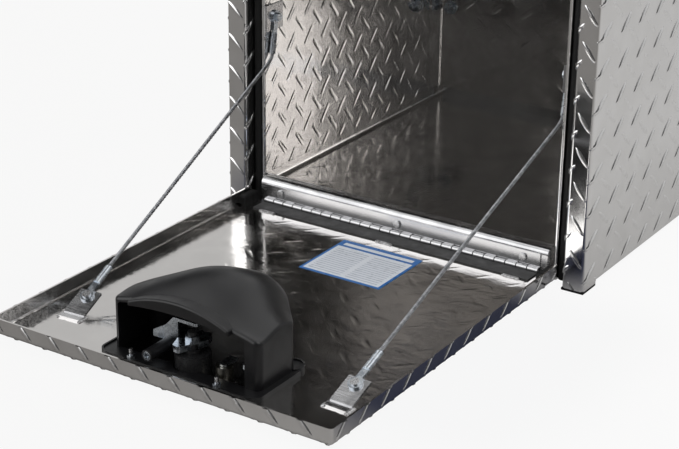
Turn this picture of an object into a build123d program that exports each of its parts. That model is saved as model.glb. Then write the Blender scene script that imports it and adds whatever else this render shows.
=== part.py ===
from build123d import *
from math import cos, pi, radians, sin, sqrt
import os

# An underbody tool box in folded tread plate, with its door hanging open and level.
# Millimetres. Pieces are drawn with x = 0 in the middle, y = 0 on the face of the front
# flange and z = 0 on the ground, and moved at the end so that the origin is the middle of
# the base. The door is drawn open, as it hangs on its two stay cables.

# The box
box_width = 444.5
box_height = 457.2
box_depth = 467.0
sheet = 2.0
bend_inside = 2.0
overrun = 5.0
fit_gap = 0.3

# The folded frame round the door opening
flange_width = 24.7
gutter_depth = 24.0
gutter_width = 12.4
lip_front = 12.5
lip_back = 26.0
top_flange = 25.4
top_gutter_width = 8.6
foot_pad = 2.5
foot_depth = 29.0
side_wall_foot = 8.2
seal_seat = 3.5
seal_crown = 9.0
seal_foot = 3.5

# The floor pan and the bottom rail
floor_flange = 14.0
floor_bend = 7.0
floor_front_gap = 1.0
rail_front = 3.0
rail_depth = 19.0
rail_top = 38.0
rail_end_gap = 2.1
rail_round = 7.0

# The back panel and the top panel's side flanges
back_flange = 29.0
top_side_flange = 25.0
flange_stop_gap = 1.0

# Bolts through the back and the sides
bolt_radius = 4.0
bolt_neck = 7.2
bolt_hole_gap = 0.25
bolt_head = 13.0
bolt_head_height = 5.3
bolt_washer_radius = 9.0
bolt_washer = 1.6
bolt_nut_height = 5.0
side_bolt_tail = 1.5
stud_stand = 20.0
back_bolt_inset = 15.0
side_bolt_inset = 65.5
low_bolt_height = 123.0
high_bolt_drop = 84.2
side_bolt_raise = 15.0

# The continuous hinge
hinge_leaf = 1.5
knuckle_radius = 3.2
knuckle_pitch = 12.7
hinge_end_gap = 5.0
knuckle_gap = 0.3
pin_radius = 1.2
pin_gap = 0.05
pin_height = 14.0
leaf_slot = 0.6
box_leaf_width = 18.0
door_leaf_width = 24.0
screw_radius = 2.0
screw_head_radius = 4.5
screw_head_height = 2.2
screw_length = 12.0
screw_drop = 7.5
screw_end_inset = 19.5
leaf_weld_length = 17.0
leaf_weld_radius = 1.6

# The door pan
door_side_gap = 5.1
door_top_gap = 1.5
door_bottom = 9.6
rim_height = 17.0
rim_corner = 4.0
pan_hinge_gap = 0.6
pan_notch_inset = 5.0
rim_hinge_gap = 0.5
corner_plug_width = 9.5
corner_plug_length = 25.0
corner_plug_height = 12.0
corner_plug_round = 2.5

# The stay cables, their eye ends and what they are bolted to
cable_radius = 2.0
eye_radius = 7.0
eye_thickness = 2.4
eye_hole_radius = 2.6
eye_neck_width = 7.0
sleeve_radius = 2.6
sleeve_length = 23.0
stay_end_length = 41.0
eye_height = 25.0
left_eye_inset = 39.5
left_eye_setback = 90.5
right_eye_inset = 31.0
right_eye_setback = 84.5
anchor_bolt_y = 29.0
anchor_bolt_z = 218.0
anchor_lean = 7.0
anchor_drop = 40.5
anchor_tab = 2.5
anchor_tab_front = 1.5
anchor_tab_reach = 18.0
anchor_tab_height = 29.0
anchor_head_height = 4.0
anchor_head = 8.0
cable_lead = 6.0
cable_fold = 5.0
bracket_width = 24.0
bracket_above = 8.5
bracket_below = 21.0
bracket_base = 11.0
bracket_sheet = 2.0
bracket_weld_radius = 1.8
rivet_head_radius = 4.4
rivet_head_height = 1.6

# The label
label_x = 9.5
label_y = -84.5
label_width = 97.0
label_length = 86.0
label_thickness = 0.4

# The latch cover
cover_setback = 37.5
cover_wall = 2.5
cover_offset = 8.0
cover_half = 83.0
cover_depth = 81.0
cover_chamfer = 27.0
cover_front_round = 7.0
cover_rear_round = 14.0
cover_edge_round = 4.0
cover_height = 87.0
roof_depth_shares = (-0.05, 0.3, 0.52, 0.75, 1.05)
roof_width_shares = (-1.1, -0.85, -0.5, 0.0, 0.5, 0.85, 1.1)
roof_height_shares = (
    (0.6, 0.62, 0.635, 0.65, 0.645, 0.63, 0.605),
    (0.57, 0.69, 0.83, 0.91, 0.83, 0.69, 0.57),
    (0.54, 0.67, 0.83, 1.0, 0.93, 0.72, 0.58),
    (0.47, 0.58, 0.76, 0.95, 0.95, 0.66, 0.45),
    (0.3, 0.46, 0.67, 0.86, 0.8, 0.44, 0.2),
)
mouth_offset = 3.0
mouth_half = 72.0
mouth_corner = 49.4
mouth_crown = 57.0
mouth_round = 4.0
brow_offset = 4.0
brow_half = 57.0
brow_end = 56.7
brow_crown = 69.0
brow_reach = 6.0
brow_depth = 14.0
brow_round = 2.4
lug_thickness = 3.0
lug_reach = 16.0
lug_side = 8.0
lug_round = 12.0
lug_rim = 1.8
lug_rim_height = 1.6
stud_x = 49.0
stud_reach = 10.5
stud_radius = 2.0
stud_height = 12.5
stud_nut = 7.0
stud_nut_height = 3.2
stud_pocket = 7.0
tab_radius = 12.0
tab_inset = 7.0
drum_relief = 2.0

# The turning latch
latch_x = 9.0
latch_setback = 48.9
drum_radius = 17.0
drum_height = 16.4
drum_wall = 4.0
drum_hole_gap = 0.3
turn_gap = 0.08
spindle_radius = 5.0
collar_radius = 8.0
cam_sheet = 3.0
cam_thickness = 6.4
cam_gap = 3.0
cam_nut = 13.0
cam_nut_height = 7.0
spindle_tail = 4.0
roller_x = -17.0
roller_height = 18.4
roller_radius = 5.9
roller_length = 34.5
roller_bore = 3.0
roller_bolt_radius = 2.9
roller_bolt_head = 4.4
roller_bolt_head_depth = 3.0
roller_end_gap = 0.3
socket_size = 4.0
bracket_flange_left = 20.0
bracket_flange_right = 9.0
bracket_flange_rise = 26.0
bracket_flange_slope = 10.0
cam_tab_lap = 4.0
cam_tab_reach = 5.0
cam_tab_depth = 18.0
cam_shoulder_share = 0.7
cam_shoulder_drop_share = 0.9
cam_toe_share = 0.25
cam_cheek_share = 0.55
cam_cheek_rise_share = 0.65
cam_heel_share = 0.25
cam_back_share = 1.4

# The folding handle outside
plate_thickness = 2.2
plate_left = 50.0
plate_right = 66.0
plate_front = 32.0
plate_back = 46.0
plate_round = 8.0
grip_thickness = 6.0
grip_drop = 3.2
grip_stem_width = 7.0
grip_stem = 36.0
grip_bar = 82.0
grip_bar_width = 12.0
ear_thickness = 4.0
ear_gap = 0.2
grip_pin_radius = 1.5
handle_screw_x = 38.0
handle_screw_y = 30.0
handle_screw_radius = 2.4
handle_screw_head = 4.2
handle_screw_head_height = 2.4
lock_x = 34.0
lock_y = 2.0
lock_radius = 8.0
lock_height = 11.0
plug_radius = 5.5
plug_recess = 0.2
keyway_width = 1.4
keyway_length = 6.0
keyway_depth = 3.0
tongue_sheet = 2.0
tongue_width = 9.0
tongue_length = 15.0

# The striker behind the top lip
striker_width = 60.0
striker_sheet = 2.4
striker_reach = 16.0
striker_upright = 20.0
striker_screw_x = 20.0
striker_screw_radius = 2.5

# Places worked out from the sizes above
half_width = box_width / 2
wall_inside = half_width - sheet
lap_inside = wall_inside - sheet
return_x = half_width - flange_width
lip_outer = return_x - gutter_width
lip_inner = lip_outer - 2 * sheet
land_front = gutter_depth - sheet
bend_outside = bend_inside + sheet
top_under = box_height - sheet
top_return = box_height - top_flange
top_lip_high = top_return - top_gutter_width
top_lip_low = top_lip_high - 2 * sheet
back_inside = box_depth - sheet
back_flange_front = back_inside + sheet - back_flange
rail_half = lip_inner - rail_end_gap
leaf_face = rail_front - hinge_leaf
pin_y = rail_front - knuckle_radius
door_half = return_x - door_side_gap
door_width = 2 * door_half
door_edge = top_return - door_top_gap - pin_height - pin_y
cover_front = cover_setback - door_edge
latch_y = latch_setback - door_edge
panel_top = door_bottom + sheet
rim_top = door_bottom + rim_height
knuckle_count = 2 * int((rail_half - hinge_end_gap) / knuckle_pitch - 1 / 2) + 1
hinge_half = knuckle_count * knuckle_pitch / 2
leaf_start = pin_y - knuckle_radius - leaf_slot
pan_start = leaf_start - pan_hinge_gap
rim_start = -rim_hinge_gap
screw_z = pin_height + box_leaf_width - screw_drop
screw_xs = [-hinge_half + screw_end_inset, 0, hinge_half - screw_end_inset]
drum_top = panel_top + drum_height
cam_low = drum_top + cam_gap
cam_high = cam_low + cam_thickness
roller_z = panel_top + roller_height
roller_plane = latch_y
cover_rear = cover_front + cover_depth
plate_low = door_bottom - plate_thickness
grip_z = plate_low - grip_drop
lock_centre = (latch_x + lock_x, latch_y + lock_y)
bolt_hole_radius = bolt_radius + bolt_hole_gap

nodes = {}


def block(x0, x1, y0, y1, z0, z1):
    """A box between two corners."""
    size = Box(x1 - x0, y1 - y0, z1 - z0)
    return Pos((x0 + x1) / 2, (y0 + y1) / 2, (z0 + z1) / 2) * size


def rod(start, end, radius):
    """A round bar from one point to another."""
    start = Vector(*start)
    along = Vector(*end) - start
    across = Vector(0, 0, 1).cross(along)
    if across.length < fit_gap:
        across = Vector(1, 0, 0)
    frame = Plane(origin=start, x_dir=across, z_dir=along)
    return frame * extrude(Circle(radius), along.length)


def hexagon(start, end, across_flats):
    """A hexagonal bar from one point to another."""
    start = Vector(*start)
    along = Vector(*end) - start
    across = Vector(0, 0, 1).cross(along)
    if across.length < fit_gap:
        across = Vector(1, 0, 0)
    frame = Plane(origin=start, x_dir=across, z_dir=along)
    outline = RegularPolygon(across_flats / 2, side_count=6, major_radius=False)
    return frame * extrude(outline, along.length)


def outline_face(points, radii):
    """A flat face whose corners have the given radii."""
    return make_face(FilletPolyline(*points, radius=radii, close=True))


def along_z(points, radii, low, high):
    """An (x, y) outline drawn out between two heights."""
    return Pos(0, 0, low) * extrude(outline_face(points, radii), high - low)


def along_x(points, radii, left, right):
    """A (y, z) outline drawn out between two x places."""
    return Plane.YZ.offset(left) * extrude(outline_face(points, radii), right - left)


def mirrored(shape):
    return mirror(shape, Plane.YZ)


def keep(name, shape):
    nodes[name] = shape


def bolt_places():
    """Centres and outward directions of the bolts in the back and in both sides."""
    heights = (low_bolt_height, box_height - high_bolt_drop)
    back_x = lap_inside - back_bolt_inset + sheet
    side_y = box_depth - side_bolt_inset
    places = []
    for z in heights:
        for side in (-1, 1):
            places.append(("back", (side * back_x, box_depth, z), (0, 1, 0)))
            places.append(("side", (side * half_width, side_y, z + side_bolt_raise), (side, 0, 0)))
    return places


def bolt_holes():
    """The clearance holes for the bolts, long enough to pass any of the walls."""
    cuts = []
    for _, centre, outward in bolt_places():
        middle = Vector(*centre)
        reach = Vector(*outward) * (2 * sheet + overrun)
        cuts.append(rod(middle - reach, middle + reach, bolt_hole_radius))
    return cuts


def side_panel():
    """The right side: one folded sheet, from the back edge round to the gutter's lip."""
    points = [
        (half_width, box_depth),
        (half_width, 0),
        (return_x, 0),
        (return_x, land_front),
        (lip_outer, land_front),
        (lip_outer, lip_front),
        (lip_inner, lip_front),
        (lip_inner, lip_back),
        (lip_inner + sheet, lip_back),
        (lip_inner + sheet, gutter_depth),
        (return_x + sheet, gutter_depth),
        (return_x + sheet, sheet),
        (wall_inside, sheet),
        (wall_inside, box_depth),
    ]
    nose = sheet - fit_gap / 2
    radii = [0, bend_outside, bend_outside, bend_inside, bend_inside, nose, nose]
    radii += [0, 0, 0, bend_outside, bend_inside, bend_inside, 0]
    panel = along_z(points, radii, foot_pad, top_under)
    far = box_depth + overrun
    panel -= block(return_x, half_width + overrun, foot_depth, far, 0, side_wall_foot)
    top_clear = block(lip_inner - overrun, return_x, sheet, lip_back + overrun, top_lip_low, box_height)
    return panel - top_clear


def panels():
    cuts = bolt_holes()
    right = side_panel()
    keep("right_side_panel", right - cuts)
    keep("left_side_panel", mirrored(right) - cuts)
    points = [
        (wall_inside, back_flange_front),
        (wall_inside, box_depth),
        (-wall_inside, box_depth),
        (-wall_inside, back_flange_front),
        (-lap_inside, back_flange_front),
        (-lap_inside, back_inside),
        (lap_inside, back_inside),
        (lap_inside, back_flange_front),
    ]
    radii = [0, bend_outside, bend_outside, 0, 0, bend_inside, bend_inside, 0]
    back = along_z(points, radii, 0, top_under)
    flange_foot = floor_flange + flange_stop_gap
    back -= block(-half_width, half_width, back_flange_front - overrun, back_inside, -overrun, flange_foot)
    keep("back_panel", back - cuts)


def top_panel():
    """The top sheet, folded down in front into its own flange and gutter."""
    points = [
        (0, box_height),
        (0, top_return),
        (land_front, top_return),
        (land_front, top_lip_high),
        (lip_front, top_lip_high),
        (lip_front, top_lip_low),
        (lip_back, top_lip_low),
        (lip_back, top_lip_low + sheet),
        (gutter_depth, top_lip_low + sheet),
        (gutter_depth, top_return + sheet),
        (sheet, top_return + sheet),
        (sheet, top_under),
        (box_depth, top_under),
        (box_depth, box_height),
    ]
    nose = sheet - fit_gap / 2
    radii = [bend_outside, bend_outside, bend_inside, bend_inside, nose, nose]
    radii += [0, 0, 0, bend_outside, bend_inside, bend_inside, 0, 0]
    top = along_x(points, radii, -return_x, return_x)
    low = top_under - top_side_flange
    flange_start = lip_back + flange_stop_gap
    flange_end = back_flange_front - flange_stop_gap
    edge = block(return_x, half_width, 0, box_depth, top_under, box_height)
    edge += block(lap_inside, wall_inside, flange_start, flange_end, low, top_under)
    keep("top_panel", top + edge + mirrored(edge))


def floor_pan():
    """The floor, turned up at both sides and at the back, inside the walls."""
    points = [
        (-wall_inside, floor_flange),
        (-wall_inside, 0),
        (wall_inside, 0),
        (wall_inside, floor_flange),
        (lap_inside, floor_flange),
        (lap_inside, sheet),
        (-lap_inside, sheet),
        (-lap_inside, floor_flange),
    ]
    inside = floor_bend - sheet
    radii = [0, floor_bend, floor_bend, 0, 0, inside, inside, 0]
    start = foot_depth + floor_front_gap
    pan = Plane.XZ.offset(-back_inside) * extrude(outline_face(points, radii), back_inside - start)
    tongue_half = lip_inner - floor_front_gap
    pan += block(-tongue_half, tongue_half, rail_front + sheet, start, 0, sheet)
    inner = lap_inside - floor_bend
    pan += block(-inner, inner, back_inside - sheet, back_inside, 0, floor_flange)
    keep("floor_pan", pan)


def bottom_rail():
    """The rounded channel across the sill, which carries the hinge."""
    back = rail_front + rail_depth
    outer = [(rail_front, 0), (rail_front, rail_top), (back, rail_top), (back, 0)]
    rail = along_x(outer, [0, rail_round, bend_outside, 0], -rail_half, rail_half)
    inner_top = rail_top - sheet
    inner = [
        (rail_front + sheet, -overrun),
        (rail_front + sheet, inner_top),
        (back - sheet, inner_top),
        (back - sheet, -overrun),
    ]
    radii = [0, rail_round - sheet, bend_inside, 0]
    rail -= along_x(inner, radii, sheet - rail_half, rail_half - sheet)
    rail -= block(-half_width, half_width, rail_front + sheet, back + overrun, -overrun, sheet)
    for x in screw_xs:
        hole = screw_radius + fit_gap / 2
        rail -= rod((x, 0, screw_z), (x, rail_front + sheet + fit_gap, screw_z), hole)
    keep("bottom_rail", rail)


def foot_pads():
    pad = block(return_x, half_width, 0, foot_depth, 0, foot_pad)
    keep("foot_pads", Compound([pad, mirrored(pad)]))


def seals():
    """Rubber strips in the gutters, crowned towards the door."""
    middle = (return_x + lip_outer) / 2
    shoulder = land_front - seal_seat
    crown = land_front - seal_crown
    section = Line((return_x, land_front), (return_x, shoulder))
    section += ThreePointArc((return_x, shoulder), (middle, crown), (lip_outer, shoulder))
    section += Line((lip_outer, shoulder), (lip_outer, land_front))
    section += Line((lip_outer, land_front), (return_x, land_front))
    corner = block(lip_outer - fit_gap, lip_outer, lip_front, land_front, 0, box_height)
    right = Pos(0, 0, seal_foot) * extrude(make_face(section), top_lip_low - seal_foot)
    nip = bend_inside
    trim = block(return_x - nip, return_x, land_front - nip, land_front, 0, box_height)
    trim += block(lip_outer, lip_outer + nip, land_front - nip, land_front, 0, box_height)
    right = right - trim - corner
    keep("right_seal", right)
    keep("left_seal", mirrored(right))
    half = top_gutter_width / 2
    centre = top_return - half
    crown += fit_gap
    shoulder = crown + half - fit_gap
    points = Line((land_front, top_return), (shoulder, top_return))
    points += ThreePointArc((shoulder, top_return), (crown, centre), (shoulder, top_lip_high))
    points += Line((shoulder, top_lip_high), (land_front, top_lip_high))
    points += Line((land_front, top_lip_high), (land_front, top_return))
    reach = return_x - fit_gap
    top = Plane.YZ.offset(-reach) * extrude(make_face(points), 2 * reach)
    top -= block(-half_width, half_width, land_front - nip, land_front, top_return - nip, top_return)
    top -= block(-half_width, half_width, land_front - nip, land_front, top_lip_high, top_lip_high + nip)
    keep("top_seal", top)


def box_bolts():
    bolts = []
    washers = []
    nuts = []
    reaches = {"back": stud_stand, "side": bolt_nut_height + side_bolt_tail}
    for wall, centre, outward in bolt_places():
        face = Vector(*centre)
        out = Vector(*outward)
        lap = sheet
        inside = face - out * lap
        seat = inside - out * bolt_washer
        end = face + out * reaches[wall]
        bolt = hexagon(seat - out * bolt_head_height, seat, bolt_head)
        neck = hexagon(seat, face, bolt_neck)
        bolts.append(bolt + neck + rod(face, end, bolt_radius))
        washer = rod(seat, inside, bolt_washer_radius)
        washers.append(washer - rod(seat, inside, bolt_hole_radius))
        if wall == "side":
            nut = hexagon(face, face + out * bolt_nut_height, bolt_head)
            nuts.append(nut - rod(face, face + out * bolt_nut_height, bolt_radius))
    keep("wall_bolts", Compound(bolts))
    keep("wall_washers", Compound(washers))
    keep("wall_nuts", Compound(nuts))


def knuckles(first):
    """Every second knuckle of the hinge, as a list of (left, right) ends."""
    ends = []
    for index in range(first, knuckle_count, 2):
        left = -hinge_half + index * knuckle_pitch + knuckle_gap / 2
        ends.append((left, left + knuckle_pitch - knuckle_gap))
    return ends


def hinge():
    """Two leaves whose knuckles take turns on one pin."""
    top = pin_height + box_leaf_width
    notch = pin_height + knuckle_radius + leaf_slot
    box_leaf = block(-hinge_half, hinge_half, leaf_face, rail_front, notch, top)
    for left, right in knuckles(0):
        box_leaf += block(left, right, leaf_face, rail_front, pin_height, notch)
        box_leaf += rod((left, pin_y, pin_height), (right, pin_y, pin_height), knuckle_radius)
    end = pin_y - door_leaf_width
    leaf_top = panel_top + hinge_leaf
    door_leaf = block(-hinge_half, hinge_half, end, leaf_start, panel_top, leaf_top)
    for left, right in knuckles(1):
        door_leaf += block(left, right, leaf_start, pin_y, panel_top, leaf_top)
        door_leaf += rod((left, pin_y, pin_height), (right, pin_y, pin_height), knuckle_radius)
    far = hinge_half + overrun
    bore = rod((-far, pin_y, pin_height), (far, pin_y, pin_height), pin_radius + pin_gap)
    for x in screw_xs:
        hole = screw_radius + fit_gap / 2
        box_leaf -= rod((x, leaf_face - overrun, screw_z), (x, rail_front + fit_gap, screw_z), hole)
    keep("hinge_box_leaf", box_leaf - bore)
    keep("hinge_door_leaf", door_leaf - bore)
    pin = rod((-hinge_half, pin_y, pin_height), (hinge_half, pin_y, pin_height), pin_radius)
    keep("hinge_pin", pin)
    screws = []
    for x in screw_xs:
        head_top = (x, leaf_face - screw_head_height, screw_z)
        head = rod(head_top, (x, leaf_face, screw_z), screw_head_radius)
        head = fillet(head.edges().group_by(Axis.Y)[0], screw_head_height / 2)
        tip = leaf_face + screw_length
        screws.append(head + rod((x, leaf_face, screw_z), (x, tip, screw_z), screw_radius))
    keep("hinge_screws", Compound(screws))
    beads = []
    for x in screw_xs:
        left = x - leaf_weld_length / 2
        right = left + leaf_weld_length
        bead = rod((left, end, panel_top), (right, end, panel_top), leaf_weld_radius)
        bead &= block(-hinge_half, hinge_half, end - overrun, end, panel_top, rim_top)
        beads.append(bead)
    keep("hinge_welds", Compound(beads))


def door_pan():
    """The pressed door: a shallow tray with a rim on three sides."""
    middle = (rim_start - door_edge) / 2
    length = door_edge + rim_start
    outer = Pos(0, middle, door_bottom + rim_height / 2) * Box(door_width, length, rim_height)
    front_corners = outer.edges().filter_by(Axis.Z).group_by(Axis.Y)[0]
    outer = fillet(front_corners, rim_corner)
    foot = [edge for edge in outer.edges().group_by(Axis.Z)[0] if edge.center().Y < rim_start - fit_gap]
    outer = fillet(foot, rim_corner)
    inner_length = length - sheet + overrun
    inner_middle = (rim_start + overrun - door_edge + sheet) / 2
    depth = rim_height - sheet + overrun
    inner = Pos(0, inner_middle, panel_top + depth / 2) * Box(door_width - 2 * sheet, inner_length, depth)
    inner = fillet(inner.edges().filter_by(Axis.Z).group_by(Axis.Y)[0], rim_corner - sheet)
    foot = [edge for edge in inner.edges().group_by(Axis.Z)[0] if edge.center().Y < rim_start]
    inner = fillet(foot, rim_corner - sheet)
    pan = outer - inner
    notch = hinge_half + pan_notch_inset
    pan -= block(-notch, notch, pan_start, overrun, 0, rim_top)
    pan -= rod((latch_x, latch_y, 0), (latch_x, latch_y, rim_top), drum_radius + drum_hole_gap)
    lock = lock_radius + drum_hole_gap
    pan -= rod((*lock_centre, 0), (*lock_centre, rim_top), lock)
    for x, y in handle_screw_places():
        pan -= rod((x, y, 0), (x, y, rim_top), handle_screw_radius + fit_gap / 2)
    keep("door_pan", pan)


def corner_plugs():
    """Rubber blocks in the door's two hinge corners."""
    outside = door_half - sheet
    plug = block(
        outside - corner_plug_width,
        outside,
        rim_start - corner_plug_length,
        rim_start,
        panel_top,
        panel_top + corner_plug_height,
    )
    plug = fillet(plug.edges().group_by(Axis.Z)[-1], corner_plug_round)
    bend_top = panel_top + rim_corner - sheet
    plug -= block(outside - rim_corner, outside + overrun, -box_depth, 0, panel_top - overrun, bend_top)
    keep("right_corner_plug", plug)
    keep("left_corner_plug", mirrored(plug))


def stay_places(side):
    """The door eye's centre, and the cable's two ends, for one side (-1 or 1)."""
    if side < 0:
        eye = Vector(left_eye_inset - door_half, left_eye_setback - door_edge, eye_height)
    else:
        eye = Vector(door_half - right_eye_inset, right_eye_setback - door_edge, eye_height)
    face = lip_inner - anchor_tab - eye_thickness / 2
    anchor = Vector(side * face, anchor_bolt_y, anchor_bolt_z)
    top = anchor + Vector(0, -anchor_lean, -anchor_drop)
    corner = top + (top - anchor).normalized() * cable_lead
    direction = (corner - eye).normalized()
    return eye, eye + direction * stay_end_length, corner, top, anchor


def stay_end(eye, mouth, normal):
    """A flat eye whose shank is folded round the cable into a two-lobed sleeve."""
    along = mouth - eye
    frame = Plane(origin=eye, x_dir=along, z_dir=normal)
    reach = along.length
    sleeve_start = reach - sleeve_length
    half = eye_thickness / 2
    flat = Pos(0, 0, -half) * extrude(Circle(eye_radius), eye_thickness)
    neck = block(0, sleeve_start, -eye_neck_width / 2, eye_neck_width / 2, -half, half)
    body = flat + neck
    lobe = sleeve_radius / 2
    for side in (-lobe, lobe):
        body += rod((sleeve_start, side, 0), (reach, side, 0), sleeve_radius)
    body -= rod((0, 0, -eye_radius), (0, 0, eye_radius), eye_hole_radius)
    return frame * body


def stays():
    """Wire rope stays, their ends, and the welded brackets and tabs they are bolted to."""
    rivets = []
    bolts = []
    for name, side in (("left", -1), ("right", 1)):
        eye, lower, corner, upper, anchor = stay_places(side)
        along = (lower - eye).normalized()
        across = along.cross(Vector(0, 0, 1)).normalized()
        normal = across.cross(along).normalized()
        keep(f"{name}_door_stay_end", stay_end(eye, lower, normal))
        inward = Vector(-side, 0, 0)
        keep(f"{name}_box_stay_end", stay_end(anchor, upper, inward))
        path = FilletPolyline(lower, corner, upper, radius=cable_fold)
        start = Plane(origin=lower, z_dir=along)
        cable = sweep(start * Circle(cable_radius), path)
        keep(f"{name}_stay_cable", cable)
        print(name, "cable length", round(path.length, 2), "fold radius", cable_fold)
        keep(f"{name}_stay_bracket", stay_bracket(eye, along))
        head_low = eye + normal * (eye_thickness / 2)
        tail = eye - normal * (eye_thickness / 2 + bracket_sheet)
        rivet = rod(head_low, head_low + normal * rivet_head_height, rivet_head_radius)
        rivet += rod(tail, head_low, eye_hole_radius)
        rivets.append(rivet)
        tab_x = sorted((side * (lip_inner - anchor_tab), side * lip_inner))
        low = anchor_bolt_z - anchor_tab_height / 2
        tab_end = lip_back + anchor_tab_reach
        tab = block(*tab_x, lip_front + anchor_tab_front, tab_end, low, low + anchor_tab_height)
        seat = anchor + inward * (eye_thickness / 2)
        back = anchor - inward * (eye_thickness / 2 + anchor_tab)
        tab -= rod(back, anchor, eye_hole_radius)
        keep(f"{name}_anchor_tab", tab)
        bolt = hexagon(seat, seat + inward * anchor_head_height, anchor_head)
        bolts.append(bolt + rod(back, seat, eye_hole_radius))
    keep("bracket_rivets", Compound(rivets))
    keep("anchor_bolts", Compound(bolts))


def stay_bracket(eye, along):
    """A bent tab: a foot on the door, a short riser, and a plate that follows the cable."""
    flat = Vector(along.X, along.Y, 0)
    rise = along.Z / flat.length
    low = -bracket_below * flat.length
    high = bracket_above * flat.length
    drop = (eye_thickness / 2) / flat.length
    thick = bracket_sheet / flat.length
    seat = eye.Z - panel_top - drop
    points = [
        (low - bracket_base, 0),
        (low, 0),
        (low, seat + low * rise - thick),
        (high, seat + high * rise - thick),
        (high, seat + high * rise),
        (low - bracket_sheet, seat + (low - bracket_sheet) * rise),
        (low - bracket_sheet, bracket_sheet),
        (low - bracket_base, bracket_sheet),
    ]
    frame = Plane(origin=(eye.X, eye.Y, panel_top), x_dir=flat, z_dir=flat.cross(Vector(0, 0, 1)))
    plate = extrude(outline_face(points, [0] * len(points)), bracket_width / 2, both=True)
    plate = frame * plate
    normal = along.cross(Vector(0, 0, 1)).cross(along).normalized()
    return plate - rod(eye - normal * overrun, eye, eye_hole_radius)


def label_plate():
    half = label_width / 2
    front = label_y - label_length / 2
    top = panel_top + label_thickness
    keep("label_plate", block(label_x - half, label_x + half, front, front + label_length, panel_top, top))


def cover_plan(grow, low, high):
    """The cover's outline in plan, with slanted rear corners, drawn up between two heights."""
    half = cover_half + grow
    left = cover_offset - half
    right = cover_offset + half
    front = cover_front - grow
    rear = cover_rear + grow
    slant = cover_chamfer + grow / 2
    points = [
        (left, front),
        (right, front),
        (right, rear - slant),
        (right - slant, rear),
        (left + slant, rear),
        (left, rear - slant),
    ]
    radii = [cover_front_round + grow] * 2 + [cover_rear_round + grow] * 4
    return along_z(points, radii, low, high)


def roof_section(depth_share, height_shares):
    """One cut across the roof, well past the walls on both sides."""
    points = []
    for width_share, height_share in zip(roof_width_shares, height_shares):
        points.append((cover_offset + cover_half * width_share, cover_height * height_share))
    roof = Spline(*points)
    left = (points[0][0], -overrun)
    right = (points[-1][0], -overrun)
    foot = Polyline(points[-1], right, left, points[0])
    y = cover_front + cover_depth * depth_share
    frame = Plane(origin=(0, y, panel_top), x_dir=(1, 0, 0), z_dir=(0, -1, 0))
    return frame * make_face(roof + foot)


def cover_shell(inset):
    """One skin of the latch cover: upright walls under a humped roof, with its edge rounded."""
    roof = loft([roof_section(*row) for row in zip(roof_depth_shares, roof_height_shares)])
    low = panel_top - (overrun / 2 if inset else 0)
    skin = cover_plan(-inset, low, panel_top + cover_height + overrun) & (Pos(0, 0, -inset) * roof)
    middle = panel_top + cover_height * min(roof_height_shares[-1])
    rims = [edge for edge in skin.edges() if edge.center().Z > middle and not edge.geom_type == GeomType.LINE]
    return fillet(rims, cover_edge_round - inset / 2)


def cover_mouth():
    """The arched mouth that the latch's roller arm turns in."""
    left = mouth_offset - mouth_half
    right = mouth_offset + mouth_half
    corner = (right, mouth_corner)
    top = ThreePointArc(corner, (mouth_offset, mouth_crown), (left, mouth_corner))
    sides = Polyline((left, mouth_corner), (left, -overrun), (right, -overrun), corner)
    front = cover_front - brow_reach - overrun
    frame = Plane(origin=(0, front, panel_top), x_dir=(1, 0, 0), z_dir=(0, -1, 0))
    mouth = extrude(frame * make_face(top + sides), -brow_depth - 2 * overrun)
    upper = [edge for edge in mouth.edges().filter_by(Axis.Y) if edge.center().Z > panel_top]
    return fillet(upper, mouth_round)


def cover_brow():
    """The arched brow that stands forward over the mouth."""
    left = brow_offset - brow_half
    right = brow_offset + brow_half
    top = ThreePointArc((right, brow_end), (brow_offset, brow_crown), (left, brow_end))
    foot = Polyline((left, brow_end), (left, mouth_corner), (right, mouth_corner), (right, brow_end))
    frame = Plane(origin=(0, cover_front - brow_reach, panel_top), x_dir=(1, 0, 0), z_dir=(0, -1, 0))
    brow = extrude(frame * make_face(top + foot), -brow_depth)
    shoulder = panel_top + mouth_crown - overrun
    brow = fillet([edge for edge in brow.edges().filter_by(Axis.Y) if edge.center().Z > shoulder], brow_round)
    front = brow.faces().sort_by(Axis.Y)[0]
    underside = panel_top + mouth_corner + fit_gap
    return fillet([edge for edge in front.edges() if edge.center().Z > underside], brow_round)


def stud_places():
    return [(mouth_offset + side * stud_x, cover_front - stud_reach) for side in (-1, 1)]


def cover_foot():
    """The flange round the cover's foot, with a raised rim and a tab at each rear corner."""
    left = cover_offset - cover_half - lug_side
    right = cover_offset + cover_half + lug_side
    front = cover_front - lug_reach
    back = cover_rear - cover_chamfer
    corners = [(left, front), (right, front), (right, back), (left, back)]
    high = panel_top + lug_thickness
    rim_high = high + lug_rim_height
    foot = along_z(corners, [lug_round] * 2 + [lug_rim] * 2, panel_top, rim_high)
    inner = [(left + lug_rim, front + lug_rim), (right - lug_rim, front + lug_rim)]
    inner += [(right - lug_rim, back + overrun), (left + lug_rim, back + overrun)]
    foot -= along_z(inner, [lug_round - lug_rim] * 2 + [lug_rim] * 2, high, rim_high + overrun)
    for side in (-1, 1):
        x = cover_offset + side * (cover_half - tab_inset)
        y = back + tab_inset
        foot += rod((x, y, panel_top), (x, y, rim_high), tab_radius)
        foot -= rod((x, y, high), (x, y, rim_high + overrun), tab_radius - lug_rim)
    foot -= cover_plan(-cover_wall, 0, rim_high + overrun)
    return foot


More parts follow.
